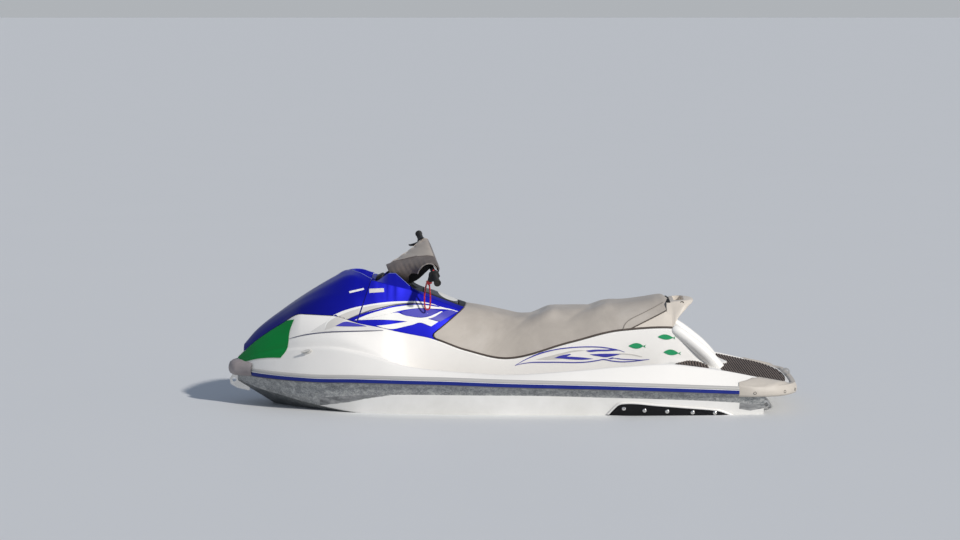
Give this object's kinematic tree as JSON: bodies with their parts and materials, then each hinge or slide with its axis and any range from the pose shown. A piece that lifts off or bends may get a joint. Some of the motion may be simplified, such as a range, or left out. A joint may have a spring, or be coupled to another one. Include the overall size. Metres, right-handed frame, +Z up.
{
  "type": "personal watercraft",
  "caption": "Three-seat personal watercraft afloat: moulded hull and deck, blue hood and cowl, long seat, turning bars, and a jet pump with steering nozzle and reversing gate.",
  "frame": {"origin": "amidships on the centreline, at the still waterline", "axes": "+X forward to the bow, +Y to port, +Z up"},
  "size_m": [3.2201, 1.17, 1.2462],
  "materials": {
    "hull_gelcoat": "glossy gelcoat, scuffed along the waterline",
    "white_gelcoat": "glossy gelcoat",
    "blue_gloss": "deep blue gloss",
    "rail_rubber": "satin rubber band with a blue stripe",
    "bumper_grey": "matt, weathered",
    "bumper_pale": "matt, weathered",
    "black_plastic": "moulded, slightly faded",
    "mat_brown": "ribbed foam mat",
    "cast_alloy": "cast and painted",
    "stainless": "polished stainless",
    "cover_vinyl": "soft padded vinyl",
    "grip_rubber": "ribbed rubber",
    "clip_red": "moulded",
    "cord_red": "elastic coiled cord",
    "seat_vinyl": "marine vinyl, faded",
    "tail_beige": "moulded, weathered"
  },
  "bodies": {
    "hull": {"hull": "hull_gelcoat", "deck": "white_gelcoat", "rub_rail": "rail_rubber", "bow_bumper": "bumper_grey", "stern_bumper": "bumper_pale", "sponsons": "black_plastic", "engine_block": "cast_alloy", "storage_bin": "black_plastic", "cowl": "blue_gloss", "steering_bracket": "cast_alloy", "console": "black_plastic", "gauge_pod": "black_plastic", "glove_box": "black_plastic", "footwell_mats": "mat_brown", "platform_mat": "mat_brown", "intake_grate": "cast_alloy", "ride_plate": "cast_alloy", "pump_housing": "cast_alloy", "nozzle_housing": "cast_alloy", "bow_eye": "stainless", "stern_eyes": "stainless", "tow_eye": "stainless", "bow_cleats": "stainless", "fuel_cap": "black_plastic", "drain_plugs": "black_plastic"},
    "handlebars": {"handlebar": "stainless", "steering_stem": "stainless", "handlebar_cover": "cover_vinyl", "grips": "grip_rubber", "throttle_lever": "black_plastic", "switch_housing": "black_plastic", "lanyard_clip": "clip_red", "lanyard_cord": "cord_red"},
    "steering_nozzle": {"steering_nozzle": "cast_alloy"},
    "impeller": {"impeller": "stainless", "drive_shaft": "stainless"},
    "reverse_gate": {"reverse_gate": "cast_alloy"},
    "hood": {"hood": "blue_gloss"},
    "seat": {"seat": "seat_vinyl", "seat_tail": "tail_beige", "grab_handle": "tail_beige"},
    "glove_box_lid": {"glove_box_lid": "black_plastic"}
  },
  "joints": [
    {"name": "steering", "type": "hinge", "parent": "hull", "child": "handlebars", "pos_m": [0.462, 0, 0.836], "axis": [-0.866, 0, 0.5], "range_deg": [-37, 3]},
    {"name": "nozzle_steer", "type": "hinge", "parent": "hull", "child": "steering_nozzle", "pos_m": [-1.285, 0, -0.11], "axis": [0, 0, 1], "range_deg": [-3, 37]},
    {"name": "impeller_spin", "type": "hinge", "parent": "hull", "child": "impeller", "pos_m": [-1.047, 0, -0.11], "axis": [1, 0, 0], "continuous": true},
    {"name": "gate_swing", "type": "hinge", "parent": "hull", "child": "reverse_gate", "pos_m": [-1.27, 0, -0.11], "axis": [0, -1, 0], "range_deg": [0, 75]},
    {"name": "hood_hinge", "type": "hinge", "parent": "hull", "child": "hood", "pos_m": [1.525, 0, 0.3], "axis": [0, 1, 0], "range_deg": [0, 60]},
    {"name": "seat_lift", "type": "slide", "parent": "hull", "child": "seat", "axis": [-0.9135, 0, 0.4067], "range_m": [0, 0.8]},
    {"name": "glove_box_hinge", "type": "hinge", "parent": "hull", "child": "glove_box_lid", "pos_m": [0.2965, 0, 0.5935], "axis": [0, -1, 0], "range_deg": [0, 100]}
  ],
  "couplings": [
    {"joint": "nozzle_steer", "follows": "steering", "ratio": -1}
  ]
}
